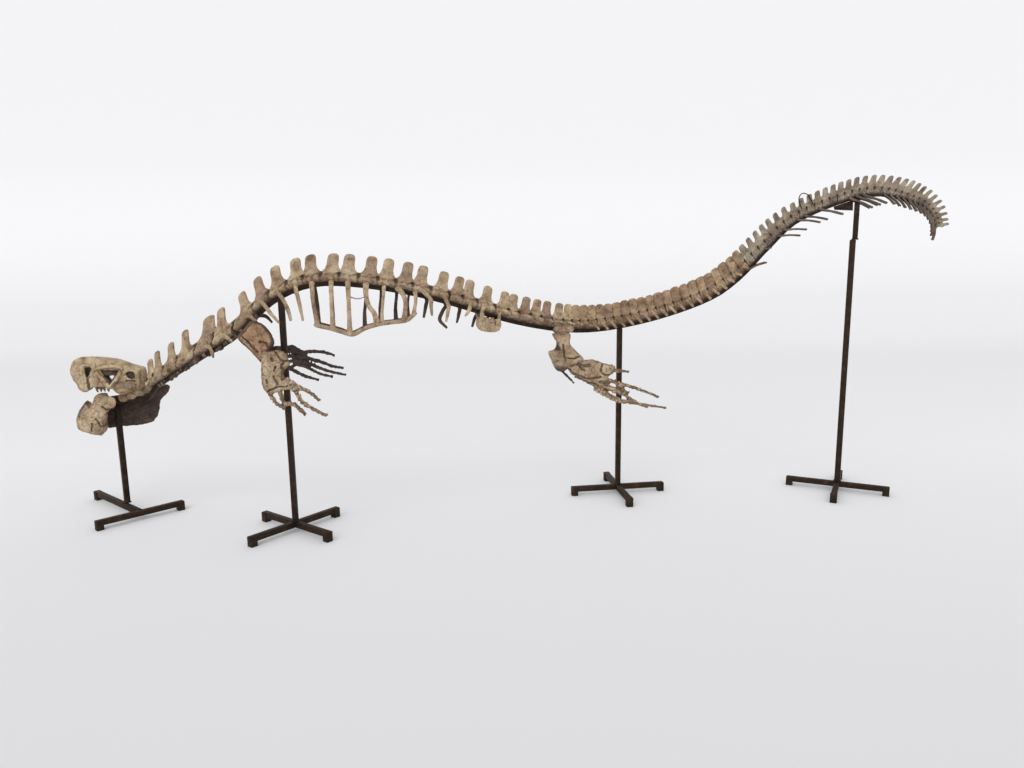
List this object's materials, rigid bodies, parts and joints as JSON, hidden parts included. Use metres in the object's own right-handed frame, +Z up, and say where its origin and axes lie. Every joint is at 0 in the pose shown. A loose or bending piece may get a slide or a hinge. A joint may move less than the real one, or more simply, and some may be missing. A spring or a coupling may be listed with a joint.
{
  "type": "mounted mosasaur skeleton",
  "caption": "Mounted skeleton of a swimming marine reptile: long backbone with spines, ribs, paddles and blunt head, held up by a bar on square steel posts with floor crosses.",
  "frame": {"origin": "middle of the mount's plan box, on the floor", "axes": "+X from head to tail, +Y to the animal's right, +Z up"},
  "size_m": [5.2851, 1.1323, 1.9639],
  "materials": {
    "bone": "matt permineralised bone, tan",
    "tail_bone": "matt permineralised bone, grey-brown",
    "dark_bone": "matt permineralised bone, dark brown",
    "shoulder_bone": "matt permineralised bone, ochre",
    "steel": "dark oxidised mild steel tube"
  },
  "bodies": {
    "root": {"femur_left": "bone", "femur_right": "bone", "fore_paddle_left": "bone", "fore_paddle_right": "dark_bone", "hind_paddle_left": "bone", "hind_paddle_right": "dark_bone", "jaw_left": "bone", "jaw_right": "dark_bone", "loin_bone": "bone", "neck": "bone", "pelvis_left": "bone", "pelvis_right": "dark_bone", "rib_cage_left": "bone", "rib_cage_right": "dark_bone", "shoulder_left": "shoulder_bone", "shoulder_right": "dark_bone", "skull": "bone", "stand_backbone_bar": "steel", "stand_chest_cross": "steel", "stand_chest_post": "steel", "stand_head_cross": "steel", "stand_head_post": "steel", "stand_hip_cross": "steel", "stand_hip_post": "steel", "stand_tail_cross": "steel", "stand_tail_gusset": "steel", "stand_tail_hoop": "steel", "stand_tail_post": "steel", "stand_tail_upper_post": "steel", "tail_middle": "tail_bone", "tail_rise": "tail_bone", "tail_root": "tail_bone", "tail_tip": "tail_bone", "trunk_chest": "bone", "trunk_loin": "bone"}
  },
  "joints": []
}
